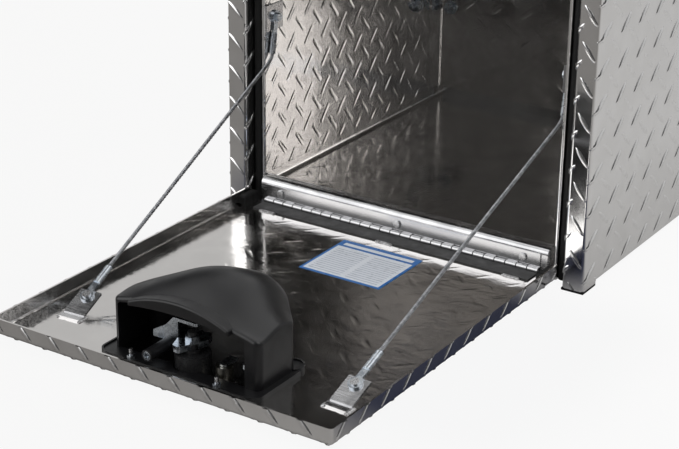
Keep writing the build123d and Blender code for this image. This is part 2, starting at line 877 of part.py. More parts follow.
def latch_cover():
    """The moulded cover over the latch, its weld studs and their nuts."""
    cover = cover_shell(0) - cover_shell(cover_wall)
    cover += cover_brow() - cover_shell(cover_wall)
    cover += cover_foot()
    cover -= cover_mouth() - cover_plan(lug_reach, 0, panel_top + lug_thickness)
    cover -= rod((latch_x, latch_y, 0), (latch_x, latch_y, cam_low), drum_radius + drum_relief)
    studs = []
    nuts = []
    for x, y in stud_places():
        cover -= rod((x, y, 0), (x, y, rim_top), stud_radius + fit_gap / 2)
        low = panel_top + lug_thickness
        cover -= rod((x, y, low), (x, y, low + lug_rim_height), stud_pocket)
        studs.append(rod((x, y, panel_top), (x, y, panel_top + stud_height), stud_radius))
        nut = hexagon((x, y, low), (x, y, low + stud_nut_height), stud_nut)
        nuts.append(nut - rod((x, y, low), (x, y, low + stud_nut_height), stud_radius))
    keep("latch_cover", cover)
    keep("cover_studs", Compound(studs))
    keep("cover_nuts", Compound(nuts))


def handle_screw_places():
    return [(latch_x + side * handle_screw_x, latch_y + handle_screw_y) for side in (-1, 1)]


def handle():
    """The outside plate with its drum, the turning spindle, and the folding grip."""
    points = [
        (latch_x - plate_left, latch_y - plate_front),
        (latch_x + plate_right, latch_y - plate_front),
        (latch_x + plate_right, latch_y + plate_back),
        (latch_x - plate_left, latch_y + plate_back),
    ]
    plate = along_z(points, [plate_round] * len(points), plate_low, door_bottom)
    plate += rod((latch_x, latch_y, plate_low), (latch_x, latch_y, drum_top), drum_radius)
    bore = drum_radius - drum_wall
    plate -= rod((latch_x, latch_y, 0), (latch_x, latch_y, drum_top - drum_wall), bore)
    neck = spindle_radius + turn_gap
    plate -= rod((latch_x, latch_y, 0), (latch_x, latch_y, drum_top + overrun), neck)
    plate -= rod((*lock_centre, 0), (*lock_centre, rim_top), lock_radius)
    keep("handle_plate", plate)
    screws = []
    for x, y in handle_screw_places():
        head = rod((x, y, panel_top), (x, y, panel_top + handle_screw_head_height), handle_screw_head)
        screws.append(head + rod((x, y, door_bottom), (x, y, panel_top), handle_screw_radius))
    keep("handle_screws", Compound(screws))
    spindle_body()
    grip()


def spindle_body():
    """The turned spindle: a barrel in the drum, two ears outside, a neck to the cam."""
    barrel = drum_radius - drum_wall - turn_gap
    shoulder = drum_top - drum_wall - turn_gap
    spindle = rod((latch_x, latch_y, plate_low), (latch_x, latch_y, shoulder), barrel)
    neck_top = cam_high + cam_nut_height + spindle_tail
    spindle += rod((latch_x, latch_y, shoulder), (latch_x, latch_y, neck_top), spindle_radius)
    spindle += rod((latch_x, latch_y, drum_top + fit_gap), (latch_x, latch_y, cam_low), collar_radius)
    inner = grip_stem_width / 2 + ear_gap
    outer = inner + ear_thickness
    ear_low = grip_z - grip_thickness / 2
    back = latch_y + grip_thickness / 2
    for side in (-1, 1):
        xs = sorted((latch_x + side * inner, latch_x + side * outer))
        ear = block(*xs, latch_y - grip_thickness / 2, back, ear_low, plate_low)
        spindle += ear
    reach = outer + overrun
    pin = rod((latch_x - reach, latch_y, grip_z), (latch_x + reach, latch_y, grip_z), grip_pin_radius)
    keep("spindle", spindle - pin)
    pin = rod((latch_x - outer, latch_y, grip_z), (latch_x + outer, latch_y, grip_z), grip_pin_radius)
    keep("grip_pin", pin)


def grip():
    """The folding tee grip, lying flat along the plate."""
    half = grip_stem_width / 2
    thick = grip_thickness / 2
    stem = block(latch_x - half, latch_x + half, latch_y, latch_y + grip_stem, grip_z - thick, grip_z + thick)
    stem += rod((latch_x - half, latch_y, grip_z), (latch_x + half, latch_y, grip_z), thick)
    y = latch_y + grip_stem
    bar = block(
        latch_x - grip_bar / 2,
        latch_x + grip_bar / 2,
        y - grip_bar_width / 2,
        y + grip_bar_width / 2,
        grip_z - thick,
        grip_z + thick,
    )
    bar = fillet(bar.edges().filter_by(Axis.Z), grip_bar_width / 3)
    bore = grip_pin_radius + pin_gap
    far = half + overrun
    tee = stem + bar
    tee -= rod((latch_x - far, latch_y, grip_z), (latch_x + far, latch_y, grip_z), bore)
    keep("tee_grip", tee)


def cam():
    """The thick cam on the spindle, with an upturned flange that carries the roller."""
    left = roller_x - bracket_flange_left
    right = roller_x + bracket_flange_right
    back = latch_y + drum_radius * cam_back_share
    points = [
        (left, roller_plane),
        (right, roller_plane),
        (latch_x - drum_radius * cam_shoulder_share, latch_y - drum_radius * cam_shoulder_drop_share),
        (latch_x - drum_radius * cam_toe_share, latch_y - drum_radius),
        (latch_x + drum_radius * cam_cheek_share, latch_y + drum_radius * cam_cheek_rise_share),
        (latch_x + drum_radius * cam_heel_share, back),
        (latch_x - drum_radius, back),
        (left, latch_y + drum_radius / 2),
    ]
    plate = along_z(points, [0, 0] + [cam_sheet] * (len(points) - 2), cam_low, cam_high)
    flange_top = roller_z + bracket_flange_rise
    outline = [
        (left, cam_low),
        (left, cam_low + cam_thickness),
        ((left + right) / 2, flange_top - bracket_flange_slope),
        (right - bracket_flange_slope / 2, flange_top),
        (right, flange_top),
        (right, cam_low),
    ]
    frame = Plane(origin=(0, roller_plane + cam_sheet, 0), x_dir=(1, 0, 0), z_dir=(0, -1, 0))
    plate += frame * extrude(make_face(Polyline(*outline, close=True)), cam_sheet)
    tab_right = latch_x + cam_tab_reach
    tab_back = roller_plane + cam_tab_depth
    tab = block(right - cam_tab_lap, tab_right, roller_plane, tab_back, flange_top - cam_sheet, flange_top)
    plate += fillet(tab.edges().filter_by(Axis.Z).sort_by(Axis.X)[2:], cam_sheet)
    plate -= rod((latch_x, latch_y, cam_low), (latch_x, latch_y, cam_high), spindle_radius)
    bolt_back = roller_plane + cam_sheet + overrun
    bolt_front = roller_plane - overrun
    plate -= rod((roller_x, bolt_front, roller_z), (roller_x, bolt_back, roller_z), roller_bolt_radius)
    keep("cam_plate", plate)
    nut = hexagon((latch_x, latch_y, cam_high), (latch_x, latch_y, cam_high + cam_nut_height), cam_nut)
    nut -= rod((latch_x, latch_y, cam_high), (latch_x, latch_y, cam_high + cam_nut_height), spindle_radius)
    keep("cam_nut", nut)
    tip = roller_plane - roller_end_gap - roller_length
    base = roller_plane - roller_end_gap
    sleeve = rod((roller_x, base, roller_z), (roller_x, tip, roller_z), roller_radius)
    sleeve -= rod((roller_x, roller_plane, roller_z), (roller_x, tip - overrun, roller_z), roller_bore)
    recess = tip + roller_bolt_head_depth + roller_end_gap
    head_room = roller_bolt_head + turn_gap
    sleeve -= rod((roller_x, tip - overrun, roller_z), (roller_x, recess, roller_z), head_room)
    keep("roller_sleeve", sleeve)
    head_back = tip + roller_bolt_head_depth
    head = rod((roller_x, tip, roller_z), (roller_x, head_back, roller_z), roller_bolt_head)
    socket_floor = tip + roller_bolt_head_depth * 2 / 3
    head -= hexagon((roller_x, tip - overrun, roller_z), (roller_x, socket_floor, roller_z), socket_size)
    bolt = head + rod((roller_x, head_back, roller_z), (roller_x, bolt_back, roller_z), roller_bolt_radius)
    keep("roller_bolt", bolt)


def lock():
    """The key lock beside the spindle, with a flat tongue on its inner end."""
    x, y = lock_centre
    top = panel_top + lock_height
    barrel = rod((x, y, plate_low), (x, y, top), lock_radius)
    barrel -= rod((x, y, 0), (x, y, rim_top), plug_radius + turn_gap)
    keep("lock_barrel", barrel)
    plug = rod((x, y, plate_low + plug_recess), (x, y, top), plug_radius)
    slot = block(-keyway_width / 2, keyway_width / 2, -keyway_length / 2, keyway_length / 2, 0, keyway_depth)
    plug -= Pos(x, y, plate_low + plug_recess) * slot
    keep("lock_plug", plug)
    tongue_high = top + fit_gap + tongue_sheet
    half = tongue_width / 2
    tongue = block(x - half, x + half, y, y + tongue_length, top + fit_gap, tongue_high)
    tongue += rod((x, y, top + fit_gap), (x, y, tongue_high), half)
    tongue += rod((x, y, top), (x, y, top + fit_gap), half / 2)
    keep("lock_tongue", tongue)


def striker():
    """An angle behind the top lip, over the roller when the door is shut."""
    half = striker_width / 2
    low = top_lip_low - striker_sheet
    foot = block(-half, half, lip_front + sheet, lip_back + striker_reach, low, top_lip_low)
    back = lip_back + striker_reach
    upright = block(-half, half, back - striker_sheet, back, low, low + striker_upright)
    plate = foot + upright
    screws = []
    middle = (lip_front + sheet + lip_back) / 2
    for side in (-1, 1):
        x = side * striker_screw_x
        top = top_lip_low + 2 * sheet
        plate -= rod((x, middle, low), (x, middle, top_lip_low), striker_screw_radius)
        screws.append(rod((x, middle, low), (x, middle, top_lip_low), striker_screw_radius))
    keep("striker_plate", plate)
    keep("striker_screws", Compound(screws))


panels()
top_panel()
floor_pan()
bottom_rail()
foot_pads()
seals()
box_bolts()
hinge()
door_pan()
corner_plugs()
stays()
label_plate()
latch_cover()
handle()
cam()
lock()
striker()

os.makedirs("parts", exist_ok=True)
to_base_middle = Pos(0, -box_depth / 2, 0)
for name, shape in nodes.items():
    export_step(to_base_middle * shape, f"parts/{name}.step")
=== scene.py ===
import math

import bmesh
import bpy
from mathutils import Matrix, Vector


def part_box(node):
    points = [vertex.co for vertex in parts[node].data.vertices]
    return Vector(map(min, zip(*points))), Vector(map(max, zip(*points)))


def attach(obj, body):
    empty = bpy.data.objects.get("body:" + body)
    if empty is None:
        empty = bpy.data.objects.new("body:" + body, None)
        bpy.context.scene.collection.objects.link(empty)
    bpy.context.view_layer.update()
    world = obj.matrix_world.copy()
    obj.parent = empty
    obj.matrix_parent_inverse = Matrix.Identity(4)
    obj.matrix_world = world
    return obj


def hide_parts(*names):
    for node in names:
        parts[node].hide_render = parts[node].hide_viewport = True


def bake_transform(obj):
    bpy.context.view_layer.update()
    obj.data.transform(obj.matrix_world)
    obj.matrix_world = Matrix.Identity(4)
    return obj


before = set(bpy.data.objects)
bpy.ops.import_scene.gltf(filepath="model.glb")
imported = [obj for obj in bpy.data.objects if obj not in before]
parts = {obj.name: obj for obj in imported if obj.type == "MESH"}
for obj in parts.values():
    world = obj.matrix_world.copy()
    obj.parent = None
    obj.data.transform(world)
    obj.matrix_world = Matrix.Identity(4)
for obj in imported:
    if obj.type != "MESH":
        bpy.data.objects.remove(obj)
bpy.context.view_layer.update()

# The view.
# A long lens about two metres off, to the right of the door and above it, so
# that the open box is seen over its hanging door.
eye = Vector((0.9234, -1.7689, 0.7713))
turn_left, look_down, tilt = math.radians(32.97), math.radians(22.66), math.radians(0.735)
level = Vector((math.cos(turn_left), math.sin(turn_left), 0))
level_share = math.cos(look_down)
ahead = Vector((-math.sin(turn_left) * level_share, math.cos(turn_left) * level_share, -math.sin(look_down)))
overhead = level.cross(ahead)
right_hand = level * math.cos(tilt) + overhead * math.sin(tilt)
upright = overhead * math.cos(tilt) - level * math.sin(tilt)
lens = bpy.data.cameras.new("view")
lens.lens = 96.17
lens.sensor_width = 36
lens.clip_start, lens.clip_end = 0.05, 50
camera = bpy.data.objects.new("view", lens)
turned = Matrix((right_hand, upright, -ahead)).transposed().to_4x4()
camera.matrix_world = Matrix.Translation(eye) @ turned
bpy.context.scene.collection.objects.link(camera)
bpy.context.scene.camera = camera


# The tread plate.
# Bright aluminium sheet, which the box, its floor and the door are folded from.
# Lugs are rolled up on its outer face in two leaning families, each over a dent.
class Signal:
    """A value, colour or vector on its way through a finish."""

    def __init__(self, finish, socket):
        self.finish = finish
        self.socket = socket

    def maths(self, operation, *others):
        return self.finish.node("ShaderNodeMath", {"operation": operation}, self, *others)

    def __add__(self, other):
        return self.maths("ADD", other)

    __radd__ = __add__

    def __sub__(self, other):
        return self.maths("SUBTRACT", other)

    def __rsub__(self, other):
        return self.finish.node("ShaderNodeMath", {"operation": "SUBTRACT"}, other, self)

    def __mul__(self, other):
        return self.maths("MULTIPLY", other)

    __rmul__ = __mul__

    def __truediv__(self, other):
        return self.maths("DIVIDE", other)

    def __gt__(self, other):
        return self.maths("GREATER_THAN", other)

    def __lt__(self, other):
        return self.maths("LESS_THAN", other)

    def __abs__(self):
        return self.maths("ABSOLUTE")

    def least(self, other):
        return self.maths("MINIMUM", other)

    def most(self, other):
        return self.maths("MAXIMUM", other)

    def ramp(self, low, high, start=0.0, end=1.0):
        """The value, eased from start to end as it goes from low to high."""
        settings = {"interpolation_type": "SMOOTHSTEP"}
        return self.finish.node("ShaderNodeMapRange", settings, self, low, high, start, end)


class Shading:
    """A tree of shading nodes."""

    def __init__(self, tree):
        self.tree = tree

    def node(self, kind, settings, *values, out=0):
        """One node of that type, with its settings and the values or links of its sockets."""
        made = self.tree.nodes.new(kind)
        for key, value in settings.items():
            setattr(made, key, value)
        for index, value in enumerate(values):
            if value is not None:
                self.feed(made.inputs[index], value)
        return Signal(self, made.outputs[out])

    def feed(self, socket, value):
        if isinstance(value, Signal):
            self.tree.links.new(value.socket, socket)
        else:
            socket.default_value = value

    def axes(self, kind="Object"):
        """Coordinates of that kind, as three values."""
        spot = self.node("ShaderNodeTexCoord", {}, out=kind)
        split = self.node("ShaderNodeSeparateXYZ", {}, spot)
        return [Signal(self, output) for output in split.socket.node.outputs]

    def ray(self, kind):
        """1 for rays of that kind, and 0 for others."""
        return self.node("ShaderNodeLightPath", {}, out=f"Is {kind} Ray")

    def noise(self, size, detail=3.0, stretch=(1, 1, 1)):
        """Noise of about that grain size, in metres."""
        spot = self.node("ShaderNodeTexCoord", {}, out="Object")
        stretched = self.node("ShaderNodeMapping", {}, spot, None, None, stretch)
        return self.node("ShaderNodeTexNoise", {}, stretched, None, 1 / size, detail)

    def blend(self, factor, first, second):
        """A colour between two others."""
        mix = self.tree.nodes.new("ShaderNodeMix")
        mix.data_type = "RGBA"
        self.feed(mix.inputs[0], factor)
        for index, colour in ((6, first), (7, second)):
            self.feed(mix.inputs[index], colour if isinstance(colour, Signal) else (*colour, 1))
        return Signal(self, mix.outputs[2])


class Finish(Shading):
    """A material, its shader and the nodes that feed it."""

    def __init__(self, name, colour, roughness, metal=0.0):
        self.material = bpy.data.materials.new(name)
        self.material.use_nodes = True
        super().__init__(self.material.node_tree)
        self.shader = self.tree.nodes["Principled BSDF"]
        self.set("Base Color", (*colour, 1))
        self.set("Roughness", roughness)
        self.set("Metallic", metal)

    def set(self, name, value):
        self.feed(self.shader.inputs[name], value)

    def mottle(self, pattern, first, second, low=0.3, high=0.7):
        """The first colour where the pattern is low, and the second where it is high."""
        self.set("Base Color", self.blend(pattern.ramp(low, high), first, second))

    def dull(self, pattern, least, most):
        """The least roughness where the pattern is low, and the most where it is high."""
        self.set("Roughness", pattern.ramp(0.3, 0.7, least, most))

    def bump(self, height, depth, under=None):
        """A normal from a height of 0 to 1, which stands for depth in metres."""
        made = self.tree.nodes.new("ShaderNodeBump")
        made.inputs["Distance"].default_value = depth
        self.feed(made.inputs["Height"], height)
        if under:
            self.feed(made.inputs["Normal"], under)
        return Signal(self, made.outputs[0])


def dress(finish, *names):
    """Gives a finish to CAD pieces."""
    for name in names:
        mesh = parts[name].data
        mesh.materials.clear()
        mesh.materials.append(finish.material)


def add_piece(name, mesh, finish=None, smooth=True):
    """A new piece of that mesh, which holds its place."""
    mesh.name = name
    mesh.polygons.foreach_set("use_smooth", [smooth] * len(mesh.polygons))
    if finish:
        mesh.materials.append(finish.material)
    piece = bpy.data.objects.new(name, mesh)
    bpy.context.scene.collection.objects.link(piece)
    return piece


def new_mesh(points, faces=()):
    mesh = bpy.data.meshes.new("mesh")
    mesh.from_pydata(points, [], faces)
    mesh.update()
    return mesh


class Pattern:
    """A tree of geometry nodes that sets copies of one shape on spots."""

    def __init__(self, name, kinds):
        self.tree = bpy.data.node_groups.new(name, "GeometryNodeTree")
        for label, kind in kinds.items():
            self.tree.interface.new_socket(label, in_out="INPUT", socket_type=f"NodeSocket{kind}")
        self.tree.interface.new_socket("Mesh", in_out="OUTPUT", socket_type="NodeSocketGeometry")
        self.given = self.tree.nodes.new("NodeGroupInput").outputs

    def feed(self, socket, value):
        if isinstance(value, bpy.types.NodeSocket):
            self.tree.links.new(value, socket)
        else:
            socket.default_value = value

    def step(self, kind, **values):
        """One node, its inputs given by name."""
        node = self.tree.nodes.new(kind)
        for name, value in values.items():
            self.feed(node.inputs[name.replace("_", " ")], value)
        return node.outputs

    def combine(self, first, second, operation="MULTIPLY"):
        node = self.tree.nodes.new("ShaderNodeMath")
        node.operation = operation
        self.feed(node.inputs[0], first)
        self.feed(node.inputs[1], second)
        return node.outputs[0]

    def close(self, copies, material):
        """Makes the copies real, in their material, and ends the tree."""
        real = self.step("GeometryNodeRealizeInstances", Geometry=copies)["Geometry"]
        finished = self.step("GeometryNodeSetMaterial", Geometry=real, Material=material)["Geometry"]
        self.tree.links.new(finished, self.tree.nodes.new("NodeGroupOutput").inputs[0])

    def make(self, spots, values):
        """The plain mesh that the tree makes of those spots and values."""
        blank = add_piece("blank", spots)
        maker = blank.modifiers.new("pattern", "NODES")
        maker.node_group = self.tree
        for item in self.tree.interface.items_tree:
            if item.in_out == "INPUT" and item.name in values:
                maker[item.identifier] = values[item.name]
        graph = bpy.context.evaluated_depsgraph_get()
        mesh = bpy.data.meshes.new_from_object(blank.evaluated_get(graph), depsgraph=graph)
        bpy.data.objects.remove(blank)
        return mesh


lug_length, lug_width, lug_height = 0.031, 0.0066, 0.0014
dent_length, dent_width = 0.027, 0.0064
fold_radius = 0.004
sheet_edge, rear_edge = 0.0005, 0.001
dull_plate, bright_plate = (0.86, 0.855, 0.85), (0.92, 0.917, 0.915)
box_roll = {"pitch": (0.0413, 0.0362), "lean": math.radians(-41)}
left_roll = {"pitch": (0.0355, 0.0355), "lean": math.radians(-49)}


def lug_dents(along, up, roll, phase):
    """How deep the inner face is sunk behind the lugs, 0 to 1."""
    families = []
    for shift, lean in ((0.0, roll["lean"]), (0.5, -roll["lean"])):
        ways = []
        for place, pitch, start in zip((along, up), roll["pitch"], phase):
            cell = (place - start) / pitch - shift
            ways.append((cell - cell.maths("ROUND")) * pitch)
        down = (ways[0] * math.cos(lean) + ways[1] * math.sin(lean)) / (dent_length / 2)
        across = (ways[1] * math.cos(lean) - ways[0] * math.sin(lean)) / (dent_width / 2)
        families.append((1 - down * down).most(0.0) * (1 - across * across).most(0.0))
    return families[0].most(families[1])


def tread_sheet(
    name, unfold, roll, phase, roughness=0.12, dent=0.0004, tone=bright_plate, swell=0.0006, streak=0.00004
):
    """The sheet itself: bright, a little wavy, and dented on the inner side only."""
    finish = Finish(name, tone, roughness, metal=1.0)
    along, up, inner = unfold(*finish.axes(), finish.axes("Normal"))
    dents = lug_dents(along, up, roll, phase) * inner
    waves = finish.bump(finish.noise(0.07, 1.0), swell)
    streaks = finish.bump(finish.noise(0.011, 2.0, (0.45, 1, 1)), streak, waves)
    grain = finish.bump(finish.noise(0.004, 2.0, (1, 1, 0.2)), 0.00002, streaks)
    finish.set("Normal", finish.bump(1 - dents, dent, grain))
    handled = finish.noise(0.04, 3.0)
    outside = finish.blend(handled.ramp(0.3, 0.7), dull_plate, bright_plate)
    inside = finish.blend(handled.ramp(0.3, 0.7), [shade * 0.95 for shade in tone], tone)
    finish.set("Base Color", finish.blend(inner, outside, inside))
    finish.dull(handled, roughness - 0.03, roughness + 0.05)
    return finish


def fold_line(corners, radii):
    """The line of a folded sheet's outer face, as a function of the distance along it."""
    pieces = []
    start = Vector(corners[0])
    for before, corner, after, radius in zip(corners, corners[1:], [*corners[2:], None], radii):
        corner = Vector(corner)
        heading = (corner - Vector(before)).normalized()
        if after is None:
            pieces.append((start, heading, 0, (corner - start).length))
            continue
        leaving = (Vector(after) - corner).normalized()
        turn = math.copysign(1, heading.x * leaving.y - heading.y * leaving.x)
        bend = corner - heading * radius
        pieces.append((start, heading, 0, (bend - start).length))
        inward = Vector((-heading.y, heading.x)) * turn
        pieces.append((bend + inward * radius, -inward * radius, turn, radius * math.pi / 2))
        start = corner + leaving * radius

    def spot(distance):
        for origin, way, turn, span in pieces:
            if distance <= span:
                break
            distance -= span
        if not turn:
            return origin + way * distance, Vector((-way.y, way.x))
        arm = Matrix.Rotation(turn * distance / way.length, 2) @ way
        return origin + arm, arm.normalized() * -turn

    return spot


def lug_shape():
    """One lug: a long lens with a rounded back, its foot just under the sheet's face."""
    spans, rows, foot = 8, 5, 0.0001
    shape = bmesh.new()
    rings = []
    for span in range(spans + 1):
        share = 2 * span / spans - 1
        thin = math.sqrt(1 - share * share)
        ring = []
        for row in range(rows):
            across = 2 * row / (rows - 1) - 1
            side = across * lug_width / 2 * thin**1.3
            rise = (1 - across**4) * thin * lug_height
            ring.append(shape.verts.new((share * lug_length / 2, side, rise - foot)))
        rings.append(ring)
    for low, high in zip(rings, rings[1:]):
        for row in range(rows - 1):
            shape.faces.new((low[row], high[row], high[row + 1], low[row + 1]))
    bmesh.ops.remove_doubles(shape, verts=shape.verts, dist=0.00001)
    mesh = bpy.data.meshes.new("lug")
    shape.to_mesh(mesh)
    return bpy.data.objects.new("lug", mesh)


def rolling():
    """Two grids of lugs, the second halfway between and leaning the other way."""
    kinds = {"Lug": "Object", "Columns": "Int", "Rows": "Int", "Pitch Along": "Float", "Pitch Up": "Float"}
    pattern = Pattern("tread lugs", kinds | {"Lean": "Float", "Plate": "Material"})
    given = pattern.given
    width = pattern.combine(pattern.combine(given["Columns"], 1, "SUBTRACT"), given["Pitch Along"])
    height = pattern.combine(pattern.combine(given["Rows"], 1, "SUBTRACT"), given["Pitch Up"])
    counts = {"Vertices_X": given["Columns"], "Vertices_Y": given["Rows"]}
    grid = pattern.step("GeometryNodeMeshGrid", Size_X=width, Size_Y=height, **counts)["Mesh"]
    half_along, half_up = (pattern.combine(given[f"Pitch {way}"], 0.5) for way in ("Along", "Up"))
    half_pitch = pattern.step("ShaderNodeCombineXYZ", X=half_along, Y=half_up)[0]
    between = pattern.step("GeometryNodeTransform", Geometry=grid, Translation=half_pitch)["Geometry"]
    shape = pattern.step("GeometryNodeObjectInfo", Object=given["Lug"])["Geometry"]
    both = pattern.tree.nodes.new("GeometryNodeJoinGeometry")
    for places, lean in ((between, pattern.combine(given["Lean"], -1)), (grid, given["Lean"])):
        turn = pattern.step("ShaderNodeCombineXYZ", Z=lean)[0]
        family = pattern.step("GeometryNodeInstanceOnPoints", Points=places, Instance=shape, Rotation=turn)
        pattern.tree.links.new(family["Instances"], both.inputs[0])
    pattern.close(both.outputs[0], given["Plate"])
    return pattern


lug = lug_shape()
rolled_lugs = rolling()
lug_plate = Finish("tread lugs", bright_plate, roughness=0.16, metal=1.0)
rolled = lug_plate.noise(0.003, 2.0)
lug_plate.dull(rolled, 0.12, 0.24)
lug_plate.mottle(rolled, dull_plate, (0.94, 0.94, 0.94))


def flat_lugs(roll, middle, columns, rows):
    """The lugs of one sheet before it is folded."""
    along, up = roll["pitch"]
    values = {"Lug": lug, "Columns": columns, "Rows": rows, "Pitch Along": along, "Pitch Up": up}
    values |= {"Lean": roll["lean"], "Plate": lug_plate.material}
    mesh = rolled_lugs.make(new_mesh([]), values)
    mesh.transform(Matrix.Translation((*middle, 0)))
    return mesh


def fold_lugs(body_lugs, roll, phase, along_span, up_span, place, notches=()):
    """Rolls the lugs of one sheet, shears them at its edges and folds them onto it."""
    spare, nudge = 3, 0.001
    middle, counts = [], []
    for pitch, start, (low, high) in zip(roll["pitch"], phase, (along_span, up_span)):
        count = math.ceil((high - low) / pitch) + spare
        first = start + (math.floor((low - start) / pitch) - 1) * pitch
        middle.append(first + (count - 1) / 2 * pitch)
        counts.append(count)
    work = bmesh.new()
    work.from_mesh(flat_lugs(roll, middle, *counts))
    shears = [((along_span[0], 0, 0), (-1, 0, 0), True), ((along_span[1], 0, 0), (1, 0, 0), True)]
    shears += [((0, up_span[0], 0), (0, -1, 0), True), ((0, up_span[1], 0), (0, 1, 0), True)]
    for along, up, _ in notches:
        shears += [((along, 0, 0), (1, 0, 0), False), ((0, up, 0), (0, 1, 0), False)]
    for point, outward, clear in shears:
        everything = [*work.verts, *work.edges, *work.faces]
        bmesh.ops.bisect_plane(work, geom=everything, plane_co=point, plane_no=outward, clear_outer=clear)
    for _, _, inside in notches:
        cut = [face for face in work.faces if inside(*face.calc_center_median()[:2])]
        bmesh.ops.delete(work, geom=cut, context="FACES")
    along, up = along_span[0], up_span[0]
    origin = place(along, up, 0)
    nudged = [place(along + nudge, up, 0), place(along, up + nudge, 0), place(along, up, nudge)]
    if Matrix([spot - origin for spot in nudged]).determinant() < 0:
        bmesh.ops.reverse_faces(work, faces=work.faces)
    for vertex in work.verts:
        vertex.co = place(*vertex.co)
    folded = bpy.data.meshes.new("folded")
    work.to_mesh(folded)
    work.free()
    body_lugs.from_mesh(folded)


def finish_lugs(name, body, body_lugs):
    mesh = bpy.data.meshes.new(name)
    body_lugs.to_mesh(mesh)
    body_lugs.free()
    piece = add_piece(name, mesh, lug_plate)
    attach(piece, body)


# The side panels.
# Each is one sheet of tread plate, folded round the front post and back into
# the gutter. The press brake drew the right one's lugs out round its corner.
side_low, side_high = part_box("right_side_panel")
front, rear, half_width = side_low.y, side_high.y, side_high.x
wall_long = rear - front
lip_width, gutter_depth, gutter_reach = 0.0164, 0.022, 0.012
return_x = side_low.x + lip_width
gutter_floor = front + gutter_depth
side_line = fold_line(
    [(half_width, rear), (half_width, front), (return_x, front), (return_x, gutter_floor)],
    [fold_radius, fold_radius, 0],
)
flange_end = wall_long + half_width - return_x - 2 * fold_radius + math.pi * fold_radius
side_end = flange_end - fold_radius + gutter_reach
# From the flat pattern to the bent sheet, in metres past the end of the wall.
corner_draw = {-0.047: -0.047, -0.028: -0.0265, -0.0046: 0.0035, 0.016: 0.0172, 0.033: 0.033}


def drawn_round(along):
    """Where a point of the flat pattern comes to lie as the right front corner is bent."""
    before = [0, *(wall_long + flat for flat in corner_draw), 1]
    after = [0, *(wall_long + bent for bent in corner_draw.values()), 1]
    for low, high, start, end in zip(before, before[1:], after, after[1:]):
        if low <= along <= high:
            return start + (end - start) * (along - low) / (high - low)


def side_place(mirror):
    """Where a point of the flat pattern lies on a folded side."""

    def place(along, up, rise):
        spot, out = side_line(drawn_round(along) if mirror > 0 else along)
        spot = spot + out * rise
        return Vector((spot.x * mirror, spot.y, up))

    return place


foot_length, foot_height = 0.029, 0.0084
foot_start = wall_long - foot_length
foot_notch = (foot_start, foot_height, lambda along, up: along < foot_start and up < foot_height)
box_lugs = bmesh.new()
side_edge = 0.0004
side_span = (side_low.z + side_edge, side_high.z - side_edge)
side_phases = {"right": (0.4507, 0.0189), "left": (0.4765, 0.009)}
for hand, mirror in (("right", 1), ("left", -1)):
    run = (rear_edge, side_end)
    fold_lugs(box_lugs, box_roll, side_phases[hand], run, side_span, side_place(mirror), [foot_notch])


def side_unfold(mirror):
    """The way back from a side to its pattern, and which face is the inner one."""
    return lambda x, y, z, facing: (rear - y, z, (facing[0] * -mirror) > 0.5)


right_sheet = tread_sheet("right side sheet", side_unfold(1), box_roll, side_phases["right"])
dress(right_sheet, "right_side_panel")
left_sheet = tread_sheet(
    "left side sheet", side_unfold(-1), left_roll, (0.3457, 0.159), roughness=0.1, dent=0.0003
)
dress(left_sheet, "left_side_panel")

# The top panel.
# Tread plate laid over the sides, with its front edge folded down between the
# two posts.
top_flange = 0.0254
top_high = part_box("top_panel")[1].z
top_return = top_high - top_flange
top_line = fold_line([(rear, top_high), (front, top_high), (front, top_return)], [fold_radius, 0])


def top_place(along, across, rise):
    if abs(across) > return_x:
        return Vector((across, rear - along, top_high + rise))
    spot, out = top_line(along)
    spot = spot - out * rise
    return Vector((across, spot.x, spot.y))


def beyond_the_sides(along, across):
    return along > wall_long and abs(across) > return_x


top_phase = (0.01, 0.012)
top_end = wall_long + top_high - top_return - 2 * fold_radius + math.pi / 2 * fold_radius
fold_lugs(
    box_lugs,
    box_roll,
    top_phase,
    (rear_edge, top_end - sheet_edge),
    (sheet_edge - half_width, half_width - sheet_edge),
    top_place,
    [(wall_long, side, beyond_the_sides) for side in (-return_x, return_x)],
)
top_sheet = tread_sheet(
    "top sheet", lambda x, y, z, facing: (rear - y, x, (facing[2] * -1) > 0.5), box_roll, top_phase
)
dress(top_sheet, "top_panel")

# The back panel.
# A flat sheet of tread plate that closes the box behind, with its flanges lapped
# over the sides. It is smoother inside than they are.
back_low, back_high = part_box("back_panel")
back_phase = (0.007, 0.004)
fold_lugs(
    box_lugs,
    box_roll,
    back_phase,
    (back_low.x + fold_radius, back_high.x - fold_radius),
    (rear_edge, back_high.z - sheet_edge),
    lambda across, up, rise: Vector((across, back_high.y + rise, up)),
)
finish_lugs("box_lugs", "box", box_lugs)
back_sheet = tread_sheet(
    "back sheet",
    lambda x, y, z, facing: (x, z, (facing[1] * -1) > 0.5),
    box_roll,
    back_phase,
    roughness=0.16,
    dent=0.00016,
    tone=(0.95, 0.92, 0.89),
)
dress(back_sheet, "back_panel")

# The floor pan.
# Tread plate turned up at both sides and at the back. Its upper face is painted
# dark as shade inside the box, and shows only faint dents.
floor_sheet = tread_sheet(
    "floor sheet",
    lambda x, y, z, facing: (x, y, facing[2] > 0.5),
    left_roll,
    (0.0, 0.0),
    dent=0.00009,
    # Painted shade: the upper face's tone is dark.
    tone=(0.55, 0.53, 0.51),
    streak=0.0002,
)
dress(floor_sheet, "floor_pan")

